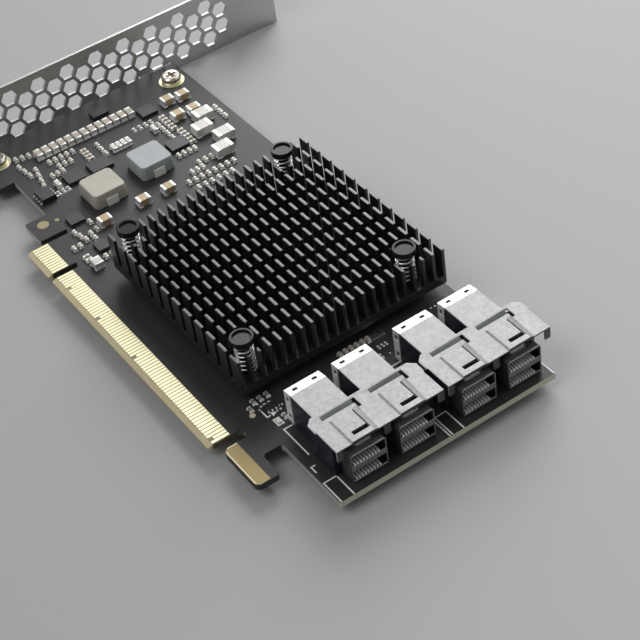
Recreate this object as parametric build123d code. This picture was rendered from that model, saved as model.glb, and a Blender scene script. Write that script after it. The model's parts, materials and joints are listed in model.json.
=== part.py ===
from build123d import *
import math
import os

# NVMe adapter card: a low-profile x16 card with four internal cable ports and a full-height bracket.
# Millimetres. The card lies component side up, so +Z comes out of the component side.
# +X runs from the bracket to the cable ports, +Y from the edge contacts to the card's top edge.
# The origin is the middle of the key notch, on the bottom line of the edge contacts, at mid board.

# Board
board_thickness = 1.57
board_top_y = 68.9
board_left_x = -57.4
board_right_x = 103.05
port_side_edge_y = 12.6
bracket_side_edge_y = 10.7
bracket_corner_edge_y = 5.0
bracket_corner_right_x = -40.0
board_corner_radius = 0.8

# Edge contacts and their tongue
contact_pitch = 1.0
contact_width = 0.7
contact_low_y = 1.3
contact_high_y = 5.6
short_contact_low_y = 2.4
contacts_before_key = 11
contacts_after_key = 71
key_place_count = 2
short_contact_numbers = (17, 31, 48, 81)
key_width = 1.9
key_depth = 8.0
tongue_margin = 0.3
bevel_height = 1.2
bevel_depth = 0.45
plating = 0.05

# How far each cut runs past the faces that it opens
overcut = 1.0

# Ear beside the first contact and the relief slot between the two
ear_width = 8.6
ear_bottom_y = 4.6
ear_slot_width = 1.7
ear_slot_top_y = 12.2

# Retention hook behind the last contact
hook_slot_width = 2.8
hook_slot_top_y = 8.4
hook_neck_width = 6.7
hook_length = 13.45
hook_bottom_y = 1.95
hook_foot_top_y = 7.65
hook_gold_top_y = 5.4
hook_gold_margin = 0.1
hook_heel_radius = 1.5
hook_tip_radius = 1.3
hook_notch_radius = 1.0
tongue_corner_radius = 0.5

# Bracket
bracket_sheet = 0.9
bracket_width = 18.42
bracket_length = 120.0
bracket_top_y = 104.8
bracket_inner_x = -59.9
bracket_below_board = 2.67
bracket_bend = 1.2
bracket_tab_length = 11.4
bracket_tongue_length = 8.5
bracket_tongue_width = 10.2
bracket_taper_length = 3.5
screw_notch_width = 4.4
screw_notch_depth = 8.2
vent_hole_width = 4.05
vent_pitch = 5.0
vent_columns = 20
vent_last_y = 87.0
vent_low_z = 0.85
foot_length = 15.0
foot_width = 9.2
foot_relief = 0.6

# Bracket screws
screw_x = -50.3
screw_low_y = 11.0
screw_spacing = 53.2
screw_hole_diameter = 3.2
screw_shank_diameter = 2.9
screw_head_diameter = 5.4
screw_head_height = 1.9
screw_head_chamfer = 0.5
screw_ring_diameter = 7.0
screw_tip_length = 0.5
screw_recess_width = 0.8
screw_recess_length = 2.9
screw_recess_depth = 1.0
thread_clearance = 0.1

# Heatsink
pin_columns = 12
pin_rows = 21
pin_pitch_x = 4.865
pin_pitch_y = 2.709
pin_length = 3.3
pin_thickness = 0.8
pin_height = 7.6
heatsink_base = 2.2
heatsink_centre_x = 38.73
heatsink_centre_y = 40.23
pocket_diameter = 7.2

# Switch chip under the heatsink
package_side = 27.0
package_thickness = 1.2
lid_side = 23.0
lid_thickness = 1.3
lid_raised_side = 16.0
lid_step = 0.5
pad_side = 15.0
pad_thickness = 0.3

# Push pins and their springs
push_pin_spacing_x = 49.2
push_pin_spacing_y = 43.1
push_pin_centre_x = 37.8
push_pin_centre_y = 38.7
push_pin_shank = 2.6
push_pin_hole = 3.1
push_pin_head = 5.4
push_pin_head_height = 1.5
push_pin_rim = 0.6
push_pin_recess = 0.5
push_pin_barb = 3.9
push_pin_tip = 1.8
push_pin_barb_length = 2.3
push_pin_split = 0.7
spring_length = 8.0
spring_diameter = 4.5
spring_wire = 0.5
spring_turns = 6
spring_steps_in_turn = 10

# Cable ports, two and two
first_port_y = 22.1
port_pitch = 12.2
pair_gap = 16.1
port_rear_x = 76.6
port_shoulder_x = 89.0
port_body_front_x = 96.6
port_nose_front_x = 100.8
port_body_width = 9.0
port_body_height = 8.8
port_nose_width = 8.8
port_nose_drop = 0.8
port_nose_foot = 0.3
port_nose_corner = 0.5
shell_sheet = 0.4
clip_length = 2.9
clip_drop = 0.45
clip_leg_margin = 0.6
clip_window_length = 1.1
clip_window_height = 1.55
clip_window_margin = 1.95
clip_hole_length = 0.9
clip_hole_width = 1.2
clip_hole_spacing = 5.0
slot_low_offset = -3.75
slot_high_offset = 2.95
slot_height = 2.15
slot_depth = 3.4
slot_low_z = 0.75
slot_spacing = 4.1
slot_wall = 0.2
pocket_width = 0.85
pocket_height = 1.5
pocket_depth = 1.4
contact_pin_pitch = 0.75
contact_pin_width = 0.42
contact_pin_height = 0.5
contact_pins = 9
contact_pin_setback = 0.1
contact_pin_reach = 3.0
tail_width = 0.4
tail_length = 1.3
tail_pitch_x = 4.4
tail_pitch_y = 1.8
tail_rows = 2
tails_in_row = 5

# Bezel plate over each pair of ports
bezel_sheet = 0.4
bezel_left_overhang = 6.5
bezel_right_overhang = 8.35
bezel_rear_x = 87.8
bezel_front_x = 99.3
bezel_step_x = 92.2
bezel_step = 0.3
bezel_corner = 1.5
bezel_tab_drop = 2.6
bezel_tab_width = 1.5
window_rear_x = 88.75
window_length = 1.35
window_low_offset = -3.7
window_high_offset = 4.35
window_notch_length = 2.9
window_notch_width = 0.85
lip_drop = 0.6
lip_edge = 0.12
latch_slit = 0.35
latch_slit_offset = 2.6
latch_slit_rear_x = 91.8
latch_slot_x = 96.75
latch_slot_length = 1.1
latch_slot_low_offset = -1.1
panel_raise = 0.35
panel_low_offset = -2.85
panel_high_offset = 4.0
panel_rear_x = 91.2
panel_slope = 0.35
panel_long_slope = 1.0

# Power section
inductor_side = 9.5
inductor_top_side = 9.0
inductor_height = 4.0
inductor_shoulder = 2.6
inductor_corner = 0.8
inductor_centres = ((-19.2, 25.8), (-20.9, 40.5))
terminal_width = 3.2
terminal_height = 2.3
terminal_sheet = 0.3

# Chip parts: length, width and height of each size, and how far each metal end reaches
end_share = 0.22
tan_size = (3.4, 2.6, 1.9)
large_size = (5.0, 3.6, 2.4)
input_size = (3.2, 1.7, 1.6)
output_size = (3.0, 2.4, 1.8)
bank_size = (2.6, 1.2, 1.2)
small_size = (1.6, 0.85, 0.8)
resistor_size = (1.6, 0.85, 0.45)
solder_side_size = (1.6, 0.85, 0.7)

# Values worked out from the sizes above
top = board_thickness / 2
bottom = -top
contact_one_x = -(contacts_before_key + 0.5) * contact_pitch
tongue_left_x = contact_one_x - contact_width / 2 - tongue_margin
contact_places = contacts_before_key + key_place_count + contacts_after_key
last_contact_x = contact_one_x + (contact_places - 1) * contact_pitch
tongue_right_x = last_contact_x + contact_width / 2 + tongue_margin
neck_left_x = tongue_right_x + hook_slot_width
neck_right_x = neck_left_x + hook_neck_width
hook_right_x = neck_left_x + hook_length
screw_centres = [(screw_x, screw_low_y + step * screw_spacing) for step in (0, 1)]
heatsink_z = top + package_thickness + lid_thickness + pad_thickness
heatsink_length = (pin_columns - 1) * pin_pitch_x + pin_length
heatsink_width = (pin_rows - 1) * pin_pitch_y + pin_thickness
spring_seat_z = heatsink_z + heatsink_base
head_low_z = spring_seat_z + spring_length
push_pin_centres = [
    (push_pin_centre_x + i * push_pin_spacing_x / 2, push_pin_centre_y + j * push_pin_spacing_y / 2)
    for i in (-1, 1)
    for j in (-1, 1)
]
port_centres_y = [
    first_port_y + pair * (port_pitch + pair_gap) + port * port_pitch for pair in (0, 1) for port in (0, 1)
]
body_top_z = top + port_body_height
nose_top_z = body_top_z - port_nose_drop
shell_top_z = body_top_z + shell_sheet
clip_front_x = port_rear_x + clip_length
bezel_top_z = shell_top_z + bezel_sheet


def block(x0, x1, y0, y1, z0, z1):
    """A box given by its two corners."""
    return Pos((x0 + x1) / 2, (y0 + y1) / 2, (z0 + z1) / 2) * Box(x1 - x0, y1 - y0, z1 - z0)


def area(x0, x1, y0, y1):
    """A flat rectangle given by its two corners."""
    return Pos((x0 + x1) / 2, (y0 + y1) / 2) * Rectangle(x1 - x0, y1 - y0)


def corners_near(sketch, *places):
    """The sketch corners that lie nearest the given places."""
    return [min(sketch.vertices(), key=lambda v, p=p: math.hypot(v.X - p[0], v.Y - p[1])) for p in places]


def raise_flat(sketch, z, height):
    """A sketch drawn in X and Y, lifted to z and given a height."""
    return extrude(Pos(0, 0, z) * sketch, height, dir=(0, 0, 1))


def run_along_x(sketch, x, length):
    """A sketch drawn in Y and Z, carried along X from x."""
    section = Plane(origin=(x, 0, 0), x_dir=(0, 1, 0), z_dir=(1, 0, 0)) * sketch
    return extrude(section, length, dir=(1, 0, 0))


def run_along_y(sketch, y, length):
    """A sketch drawn in X and Z, carried along Y from y."""
    section = Plane(origin=(0, y + length, 0), x_dir=(1, 0, 0), z_dir=(0, -1, 0)) * sketch
    return extrude(section, length, dir=(0, -1, 0))


def round_slot(x, width, low_y, high_y):
    """A slot open at low_y, with a round end that reaches high_y."""
    radius = width / 2
    return area(x - radius, x + radius, low_y, high_y - radius) + Pos(x, high_y - radius) * Circle(radius)


def save(shape, name):
    export_step(shape, f"parts/{name}.step")


def board_outline():
    edge_y = bracket_side_edge_y
    ear_right_x = tongue_left_x - ear_slot_width
    ear_left_x = ear_right_x - ear_width
    outline = area(board_left_x, board_right_x, port_side_edge_y, board_top_y)
    outline += area(board_left_x, neck_right_x, edge_y, port_side_edge_y)
    outline += area(board_left_x, bracket_corner_right_x, bracket_corner_edge_y, edge_y)
    outline += area(ear_left_x, tongue_left_x, ear_bottom_y, edge_y)
    outline += area(tongue_left_x, tongue_right_x, 0, edge_y)
    outline += area(tongue_right_x, neck_right_x, hook_bottom_y, edge_y)
    outline += area(neck_right_x, hook_right_x, hook_bottom_y, hook_foot_top_y)
    outline -= round_slot(0, key_width, -overcut, key_depth)
    outline -= round_slot(tongue_left_x - ear_slot_width / 2, ear_slot_width, 0, ear_slot_top_y)
    outline -= round_slot(tongue_right_x + hook_slot_width / 2, hook_slot_width, 0, hook_slot_top_y)
    outline = fillet(corners_near(outline, (neck_left_x, hook_bottom_y)), hook_heel_radius)
    outline = fillet(corners_near(outline, (hook_right_x, hook_bottom_y)), hook_tip_radius)
    notch = corners_near(outline, (neck_right_x, hook_foot_top_y), (neck_right_x, port_side_edge_y))
    outline = fillet(notch, hook_notch_radius)
    tongue = corners_near(outline, (tongue_left_x, 0), (tongue_right_x, 0))
    outline = fillet(tongue, tongue_corner_radius)
    rounded = corners_near(
        outline,
        (board_left_x, board_top_y),
        (board_left_x, bracket_corner_edge_y),
        (bracket_corner_right_x, bracket_corner_edge_y),
        (ear_left_x, ear_bottom_y),
        (ear_right_x, ear_bottom_y),
        (hook_right_x, hook_foot_top_y),
    )
    outline = fillet(rounded, board_corner_radius)
    for x, y in screw_centres:
        outline -= Pos(x, y) * Circle(screw_hole_diameter / 2)
    for x, y in push_pin_centres:
        outline -= Pos(x, y) * Circle(push_pin_hole / 2)
    return outline


def circuit_board():
    board = raise_flat(board_outline(), bottom, board_thickness)
    for face_z, step in ((top, -bevel_depth), (bottom, bevel_depth)):
        wedge = Polygon((0, face_z), (bevel_height, face_z), (0, face_z + step), align=None)
        board -= run_along_x(wedge, tongue_left_x, tongue_right_x - tongue_left_x)
    return board


def contact_x(number):
    """Contacts are numbered from 1, and the key notch takes the room of two of them."""
    skip = key_place_count if number > contacts_before_key else 0
    return contact_one_x + (number - 1 + skip) * contact_pitch


def edge_contacts(z):
    pads = []
    for number in range(1, contacts_before_key + contacts_after_key + 1):
        low_y = short_contact_low_y if number in short_contact_numbers else contact_low_y
        x = contact_x(number)
        pads.append(block(x - contact_width / 2, x + contact_width / 2, low_y, contact_high_y, z, z + plating))
    return Compound(pads)


def hook_plating():
    left_x = neck_left_x + hook_gold_margin
    right_x = hook_right_x - hook_gold_margin
    low_y = hook_bottom_y + hook_gold_margin
    gold = area(left_x, right_x, low_y, hook_gold_top_y)
    gold = fillet(corners_near(gold, (left_x, low_y)), hook_heel_radius)
    gold = fillet(corners_near(gold, (right_x, low_y)), hook_tip_radius)
    return Compound([raise_flat(gold, top, plating), raise_flat(gold, bottom - plating, plating)])


def mounting_rings():
    """Bare plated rings that the screw heads clamp."""
    rings = []
    for x, y in screw_centres:
        ring = Pos(x, y) * (Circle(screw_ring_diameter / 2) - Circle(screw_hole_diameter / 2))
        rings.append(raise_flat(ring, top, plating))
    return Compound(rings)


def vent_holes():
    """A honeycomb of six-sided holes: columns of two and of three take turns."""
    column_step = vent_pitch * math.sqrt(3) / 2
    hexagon = RegularPolygon(vent_hole_width / 2, 6, major_radius=False)
    holes = []
    for column in range(vent_columns):
        y = vent_last_y - column * column_step
        count = 2 if column % 2 == 0 else 3
        first = vent_low_z + vent_pitch / 2 if count == 2 else vent_low_z
        for row in range(count):
            holes.append(Pos(y, first + row * vent_pitch) * hexagon)
    return holes


def bracket():
    low_z = bottom - bracket_below_board
    high_z = low_z + bracket_width
    middle_z = (low_z + high_z) / 2
    outer_x = bracket_inner_x - bracket_sheet
    end_y = bracket_top_y - bracket_length
    tongue_y = end_y + bracket_tongue_length
    shoulder_y = tongue_y + bracket_taper_length
    half = bracket_tongue_width / 2
    inner_bend = bracket_bend - bracket_sheet
    ring = Circle(bracket_bend) - Circle(inner_bend)

    # Plate with its vents, narrowed to a tongue at the lower end
    face = Polygon(
        (bracket_top_y - bracket_bend, low_z),
        (bracket_top_y - bracket_bend, high_z),
        (shoulder_y, high_z),
        (tongue_y, middle_z + half),
        (end_y, middle_z + half),
        (end_y, middle_z - half),
        (tongue_y, middle_z - half),
        (shoulder_y, low_z),
        align=None,
    )
    face = fillet(corners_near(face, (end_y, middle_z + half), (end_y, middle_z - half)), half / 2)
    face -= vent_holes()
    fold_z = bottom - bracket_sheet + bracket_bend
    reach = foot_width / 2 + foot_relief
    for _, y in screw_centres:
        face -= area(y - reach, y + reach, low_z - overcut, fold_z)
    solid = run_along_x(face, outer_x, bracket_sheet)

    # Top end: a quarter bend and the tab that the chassis screw holds
    bend_x = bracket_inner_x - bracket_bend
    bend_y = bracket_top_y - bracket_bend
    tab_end_x = outer_x - bracket_tab_length
    strip = Pos(bend_x, bend_y) * (ring & area(0, bracket_bend, 0, bracket_bend))
    strip += area(tab_end_x, bend_x, bracket_top_y - bracket_sheet, bracket_top_y)
    tab = raise_flat(strip, low_z, bracket_width)
    notch_x = outer_x - bracket_tab_length / 2
    notch_radius = screw_notch_width / 2
    notch_z = high_z - screw_notch_depth + notch_radius
    notch = area(notch_x - notch_radius, notch_x + notch_radius, notch_z, high_z + overcut)
    notch += Pos(notch_x, notch_z) * Circle(notch_radius)
    tab -= run_along_y(notch, bracket_top_y - bracket_bend, 2 * bracket_bend)
    solid += tab

    # Two feet, folded in under the board and tapped for the screws
    section = Pos(outer_x + bracket_bend, fold_z) * (ring & area(-bracket_bend, 0, -bracket_bend, 0))
    section += area(outer_x + bracket_bend, bracket_inner_x + foot_length, bottom - bracket_sheet, bottom)
    tapped = Cylinder(screw_shank_diameter / 2 + thread_clearance, 4 * bracket_sheet)
    for x, y in screw_centres:
        foot = run_along_y(section, y - foot_width / 2, foot_width)
        solid += foot - Pos(x, y, bottom) * tapped
    return solid


def bracket_screws():
    """Pan heads on the component side, with shanks that reach through the board into the feet."""
    screws = []
    head_z = top + plating
    tip_z = bottom - bracket_sheet - screw_tip_length
    for x, y in screw_centres:
        outline = Polygon(
            (0, tip_z),
            (screw_shank_diameter / 2, tip_z),
            (screw_shank_diameter / 2, head_z),
            (screw_head_diameter / 2, head_z),
            (screw_head_diameter / 2, head_z + screw_head_height - screw_head_chamfer),
            (screw_head_diameter / 2 - screw_head_chamfer, head_z + screw_head_height),
            (0, head_z + screw_head_height),
            align=None,
        )
        screw = revolve(Plane.XZ * outline, Axis.Z)
        recess_z = head_z + screw_head_height - screw_recess_depth / 2
        blade = Box(screw_recess_length, screw_recess_width, screw_recess_depth)
        screw -= Pos(0, 0, recess_z) * blade
        screw -= Pos(0, 0, recess_z) * Rot(0, 0, 90) * blade
        screws.append(Pos(x, y) * screw)
    return Compound(screws)


def heatsink():
    """An extrusion with channels along X, cut across into pins, with a pocket for each push pin."""
    low_y = heatsink_centre_y - heatsink_width / 2
    low_x = heatsink_centre_x - heatsink_length / 2
    pin_top_z = spring_seat_z + pin_height
    profile = area(low_y, low_y + heatsink_width, heatsink_z, pin_top_z)
    channels = []
    for row in range(pin_rows - 1):
        left = low_y + pin_thickness + row * pin_pitch_y
        right = low_y + (row + 1) * pin_pitch_y
        channels.append(area(left, right, spring_seat_z, pin_top_z + overcut))
    profile -= channels
    body = run_along_x(profile, low_x, heatsink_length)
    cuts = []
    for column in range(pin_columns - 1):
        left = low_x + pin_length + column * pin_pitch_x
        right = low_x + (column + 1) * pin_pitch_x
        high_y = low_y + heatsink_width + overcut
        cuts.append(block(left, right, low_y - overcut, high_y, spring_seat_z, pin_top_z + overcut))
    for x, y in push_pin_centres:
        pocket = Pos(x, y, spring_seat_z + pin_height) * Cylinder(pocket_diameter / 2, 2 * pin_height)
        cuts.append(pocket)
        cuts.append(Pos(x, y, heatsink_z) * Cylinder(push_pin_hole / 2, 4 * heatsink_base))
    return body - cuts


def switch_chip_lid():
    """A stamped lid: a flat flange with a raised middle that meets the pad."""
    low_z = top + package_thickness
    flange = raise_flat(RectangleRounded(lid_side, lid_side, lid_step), low_z, lid_thickness - lid_step)
    raised = raise_flat(Rectangle(lid_raised_side, lid_raised_side), low_z, lid_thickness)
    return Pos(heatsink_centre_x, heatsink_centre_y) * (flange + raised)


def switch_chip_package():
    package = raise_flat(Rectangle(package_side, package_side), top, package_thickness)
    return Pos(heatsink_centre_x, heatsink_centre_y) * package


def thermal_pad():
    pad = raise_flat(Rectangle(pad_side, pad_side), heatsink_z - pad_thickness, pad_thickness)
    return Pos(heatsink_centre_x, heatsink_centre_y) * pad


def push_pins():
    """Each pin hangs on its barb under the board and holds its spring down with its head."""
    head_top_z = head_low_z + push_pin_head_height
    rim = push_pin_head / 2 - push_pin_rim
    outline = Polygon(
        (0, bottom - push_pin_barb_length),
        (push_pin_tip / 2, bottom - push_pin_barb_length),
        (push_pin_barb / 2, bottom),
        (push_pin_shank / 2, bottom),
        (push_pin_shank / 2, head_low_z),
        (push_pin_head / 2, head_low_z),
        (push_pin_head / 2, head_top_z),
        (rim, head_top_z),
        (rim, head_top_z - push_pin_recess),
        (0, head_top_z - push_pin_recess),
        align=None,
    )
    pin = revolve(Plane.XZ * outline, Axis.Z)
    half = push_pin_split / 2
    pin -= block(-push_pin_barb, push_pin_barb, -half, half, bottom - push_pin_barb, bottom)
    return Compound([Pos(x, y) * pin for x, y in push_pin_centres])


def push_pin_springs():
    """Wire bent in short straight steps, so that the coil keeps few faces."""
    radius = (spring_diameter - spring_wire) / 2
    rise = spring_length - spring_wire
    steps = spring_turns * spring_steps_in_turn
    turn = 2 * math.pi / spring_steps_in_turn
    angles = [step * turn for step in range(steps + 1)]
    path = Polyline([(radius * math.cos(a), radius * math.sin(a), rise * a / angles[-1]) for a in angles])
    wire = Plane(origin=path @ 0, x_dir=(1, 0, 0), z_dir=path % 0) * RegularPolygon(spring_wire / 2, 4)
    spring = sweep(wire, path, transition=Transition.RIGHT)
    spring = Pos(0, 0, spring_seat_z + spring_wire / 2) * spring
    return Compound([Pos(x, y) * spring for x, y in push_pin_centres])


def port_housing(centre_y):
    """A moulded body, narrowed at the rear for the clip and widened in front to meet its neighbour."""
    rear_x = port_rear_x + shell_sheet
    side = Polygon(
        (rear_x, top),
        (port_body_front_x, top),
        (port_body_front_x, body_top_z),
        (clip_front_x, body_top_z),
        (rear_x, body_top_z - clip_drop * (clip_length - shell_sheet) / clip_length),
        align=None,
    )
    body = run_along_y(side, centre_y - port_body_width / 2, port_body_width)
    for sign in (-1, 1):
        edge = centre_y + sign * port_body_width / 2
        inner = edge - sign * shell_sheet
        low_y, high_y = sorted((edge, inner))
        body -= block(rear_x - overcut, clip_front_x, low_y, high_y, top - overcut, body_top_z + overcut)
    half = port_pitch / 2
    body += block(port_shoulder_x, port_body_front_x, centre_y - half, centre_y + half, top, body_top_z)
    return body


def slot_floor(row):
    return top + slot_low_z + row * slot_spacing


def port_nose(centre_y):
    """The plug face: two wide card slots in a block that stands out from the housing."""
    half = port_nose_width / 2
    face = area(centre_y - half, centre_y + half, top + port_nose_foot, nose_top_z)
    upper = corners_near(face, (centre_y - half, nose_top_z), (centre_y + half, nose_top_z))
    face = chamfer(upper, port_nose_corner)
    nose = run_along_x(face, port_body_front_x, port_nose_front_x - port_body_front_x)
    cut_x = port_nose_front_x + overcut
    pocket_low_y = centre_y + slot_high_offset + slot_wall
    for row in (0, 1):
        floor_z = slot_floor(row)
        roof_z = floor_z + slot_height
        low_y = centre_y + slot_low_offset
        high_y = centre_y + slot_high_offset
        nose -= block(port_nose_front_x - slot_depth, cut_x, low_y, high_y, floor_z, roof_z)
        nose -= block(
            port_nose_front_x - pocket_depth,
            cut_x,
            pocket_low_y,
            pocket_low_y + pocket_width,
            roof_z - pocket_height,
            roof_z,
        )
    return nose


def port_contacts(centre_y):
    """Contacts that lie side by side on the floors of the two slots."""
    contacts = []
    front_x = port_nose_front_x - contact_pin_setback
    first_y = centre_y + slot_low_offset + contact_pin_width / 2
    for row in (0, 1):
        for number in range(contact_pins):
            y = first_y + number * contact_pin_pitch
            contacts.append(
                block(
                    front_x - contact_pin_reach,
                    front_x,
                    y - contact_pin_width / 2,
                    y + contact_pin_width / 2,
                    slot_floor(row),
                    slot_floor(row) + contact_pin_height,
                )
            )
    return Compound(contacts)


def port_shell(centre_y):
    """The sheet over the housing, from the rear clip to the bezel's window, which it carries."""
    half = port_body_width / 2
    return block(clip_front_x, window_rear_x, centre_y - half, centre_y + half, body_top_z, shell_top_z)


def port_clip(centre_y):
    """The rear clip: a top strip that falls to the rear, a back wall and two legs with windows."""
    half = port_body_width / 2
    top_z = shell_top_z
    strip = Polygon(
        (port_rear_x, top_z - clip_drop),
        (clip_front_x, top_z),
        (clip_front_x, top_z - shell_sheet),
        (port_rear_x, top_z - clip_drop - shell_sheet),
        align=None,
    )
    clip = run_along_y(strip, centre_y - half, 2 * half)
    wall_top_z = top_z - clip_drop
    clip += block(port_rear_x, port_rear_x + shell_sheet, centre_y - half, centre_y + half, top, wall_top_z)
    leg_front_x = clip_front_x - clip_leg_margin
    for sign in (-1, 1):
        edge = centre_y + sign * half
        inner = edge - sign * shell_sheet
        low_y, high_y = min(edge, inner), max(edge, inner)
        leg = Polygon(
            (port_rear_x, top),
            (leg_front_x, top),
            (leg_front_x, top_z - shell_sheet),
            (port_rear_x, wall_top_z - shell_sheet),
            align=None,
        )
        clip += run_along_y(leg, low_y, high_y - low_y)
        window_x = (port_rear_x + leg_front_x) / 2
        for window_z in (top + clip_window_margin, body_top_z - clip_window_margin):
            window = Box(clip_window_length, 2 * shell_sheet, clip_window_height)
            clip -= Pos(window_x, (low_y + high_y) / 2, window_z) * window
    for sign in (-1, 1):
        hole = Box(clip_hole_length, clip_hole_width, 4 * shell_sheet)
        clip -= Pos((port_rear_x + clip_front_x) / 2, centre_y + sign * clip_hole_spacing / 2, top_z) * hole
    return clip


def port_tails(centres):
    """Press-fit tails that come out under the board."""
    tails = []
    for centre_y in centres:
        for row in range(tail_rows):
            for number in range(tails_in_row):
                x = port_rear_x + 2 * shell_sheet + tail_pitch_x * (row + 0.5)
                y = centre_y + (number - (tails_in_row - 1) / 2) * tail_pitch_y
                half = tail_width / 2
                tails.append(block(x - half, x + half, y - half, y + half, bottom - tail_length, bottom))
    return Compound(tails)


def latch_panel(centre_y):
    """A pressed-up panel with sloped sides, the long slope away from the first port."""
    low_y = centre_y + panel_low_offset
    high_y = centre_y + panel_high_offset
    foot = area(panel_rear_x, bezel_front_x, low_y, high_y)
    crown = area(panel_rear_x + panel_slope, bezel_front_x, low_y + panel_slope, high_y - panel_long_slope)
    return loft([Pos(0, 0, bezel_top_z) * foot, Pos(0, 0, bezel_top_z + panel_raise) * crown], ruled=True)


def bezel_openings(centre_y):
    """The window behind the panel, the notch at its end and the L-shaped slit of the sprung latch."""
    window_high_y = centre_y + window_high_offset
    notch_high_y = window_high_y + window_notch_width
    slit_low_y = centre_y + latch_slit_offset
    slot_front_x = latch_slot_x + latch_slot_length
    return [
        area(window_rear_x, window_rear_x + window_length, centre_y + window_low_offset, window_high_y),
        area(window_rear_x, window_rear_x + window_notch_length, window_high_y, notch_high_y),
        area(latch_slit_rear_x, slot_front_x, slit_low_y, slit_low_y + latch_slit),
        area(latch_slot_x, slot_front_x, centre_y + latch_slot_low_offset, slit_low_y),
    ]


def window_lip(centre_y):
    """The sheet folded down from the window's rear edge."""
    front_x = window_rear_x + window_length
    lip = Polygon(
        (window_rear_x, bezel_top_z),
        (front_x, bezel_top_z - lip_drop),
        (front_x, bezel_top_z - lip_drop - lip_edge),
        (window_rear_x, shell_top_z),
        align=None,
    )
    return run_along_y(lip, centre_y + window_low_offset, window_high_offset - window_low_offset)


def bezel(first_centre_y, second_centre_y):
    """A sheet plate over two ports, with a sprung latch panel above each plug."""
    low_y = first_centre_y - bezel_left_overhang
    high_y = second_centre_y + bezel_right_overhang
    outline = area(bezel_rear_x, bezel_front_x, low_y, high_y)
    outline += area(bezel_rear_x, bezel_step_x, low_y - bezel_step, high_y + bezel_step)
    rear = corners_near(outline, (bezel_rear_x, low_y - bezel_step), (bezel_rear_x, high_y + bezel_step))
    outline = chamfer(rear, bezel_corner)
    plate = raise_flat(outline, shell_top_z, bezel_sheet)
    for centre_y in (first_centre_y, second_centre_y):
        plate += latch_panel(centre_y)
        for opening in bezel_openings(centre_y):
            plate -= raise_flat(opening, shell_top_z - bezel_sheet, 2 * bezel_sheet + 2 * panel_raise)
        plate += window_lip(centre_y)
    middle_y = (first_centre_y + second_centre_y) / 2
    half = bezel_tab_width / 2
    for y in (low_y + half, middle_y, high_y - half):
        tab_low_z = shell_top_z - bezel_tab_drop
        plate += block(bezel_front_x - bezel_sheet, bezel_front_x, y - half, y + half, tab_low_z, shell_top_z)
    return plate


def inductor_bodies():
    """Moulded blocks, straight up to the shoulder and drawn in above it."""
    side = Rectangle(inductor_side, inductor_side)
    side = chamfer(side.vertices(), inductor_corner)
    crown = Rectangle(inductor_top_side, inductor_top_side)
    crown = chamfer(crown.vertices(), inductor_corner)
    body = raise_flat(side, top, inductor_shoulder)
    body += loft([Pos(0, 0, top + inductor_shoulder) * side, Pos(0, 0, top + inductor_height) * crown])
    return Compound([Pos(x, y) * body for x, y in inductor_centres])


def inductor_terminals():
    terminals = []
    half = terminal_width / 2
    for x, y in inductor_centres:
        for sign in (-1, 1):
            face_x = x + sign * inductor_side / 2
            outer_x = face_x + sign * terminal_sheet
            terminals.append(
                block(min(face_x, outer_x), max(face_x, outer_x), y - half, y + half, top, top + terminal_height)
            )
    return Compound(terminals)


def row_places(x, y, step_x, step_y, count):
    """Evenly spaced places, from the first one on."""
    return [(x + i * step_x, y + i * step_y) for i in range(count)]


def chip_parts(size, places, turned=False, face_z=None, ends=False):
    """Bodies or metal ends of chip parts. Turned parts lie along Y instead of X."""
    length, width, height = size
    base_z = top if face_z is None else face_z
    sign = 1 if face_z is None else -1
    cap = end_share * length
    shapes = []
    for x, y in places:
        spans = [(-length / 2 + cap, length / 2 - cap)]
        if ends:
            spans = [(-length / 2, -length / 2 + cap), (length / 2 - cap, length / 2)]
        for low, high in spans:
            low_z, high_z = sorted((base_z, base_z + sign * height))
            if turned:
                shapes.append(block(x - width / 2, x + width / 2, y + low, y + high, low_z, high_z))
            else:
                shapes.append(block(x + low, x + high, y - width / 2, y + width / 2, low_z, high_z))
    return shapes


tan_places = [(-9.0, 20.4), (-9.3, 31.6), (-9.1, 38.8)]
tan_places += [(-41.9, 57.9), (-41.2, 62.2), (-34.2, 56.6), (-33.7, 61.2)]
large_places = [(-24.4, 58.3), (-29.3, 61.4), (-18.3, 61.1), (-13.2, 57.6)]
output_places = [(3.9, 11.1)]
input_places = row_places(-45.0, 20.6, 0.05, 2.25, 13)
bank_places = row_places(-33.9, 36.9, 0, 1.45, 4) + [(-33.6, 49.0), (-30.6, 18.6)]
small_places = (
    row_places(-10.6, 12.6, 2.1, 0.5, 3)
    + row_places(-7.6, 15.6, 2.4, 0, 2)
    + row_places(-11.8, 17.6, 3.6, 0, 2)
    + row_places(-5.2, 9.6, 0, 1.7, 2)
    + row_places(2.6, 14.2, 0, 1.7, 2)
    + row_places(-47.8, 15.2, 0.4, 1.7, 3)
    + row_places(-44.2, 14.4, 2.6, 0.3, 3)
    + row_places(-40.2, 17.2, 2.6, -0.5, 4)
    + row_places(-40.6, 21.4, 0, 1.7, 5)
    + row_places(-37.4, 22.6, 0, 1.7, 3)
    + row_places(-34.9, 19.3, 0, 1.6, 3)
    + row_places(-38.4, 34.4, 2.4, 0, 3)
    + row_places(-34.8, 50.9, 2.5, 0, 4)
    + row_places(-19.4, 48.0, 0, 1.6, 4)
    + row_places(-11.2, 47.0, 0, 1.6, 3)
    + row_places(-8.0, 44.2, 0, 1.9, 8)
    + row_places(-4.6, 45.0, 0, 2.0, 6)
    + row_places(-13.4, 50.4, 0, 1.9, 3)
    + row_places(-31.0, 66.2, 2.6, 0, 3)
    + row_places(68.2, 37.1, 0, 1.5, 6)
)
turned_small_places = (
    row_places(-0.6, 10.4, 1.5, 0, 2)
    + row_places(-38.8, 30.4, 1.5, 0, 4)
    + row_places(-37.0, 53.2, 1.6, 0, 5)
    + row_places(-28.6, 53.9, 1.6, 0, 5)
)
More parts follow.
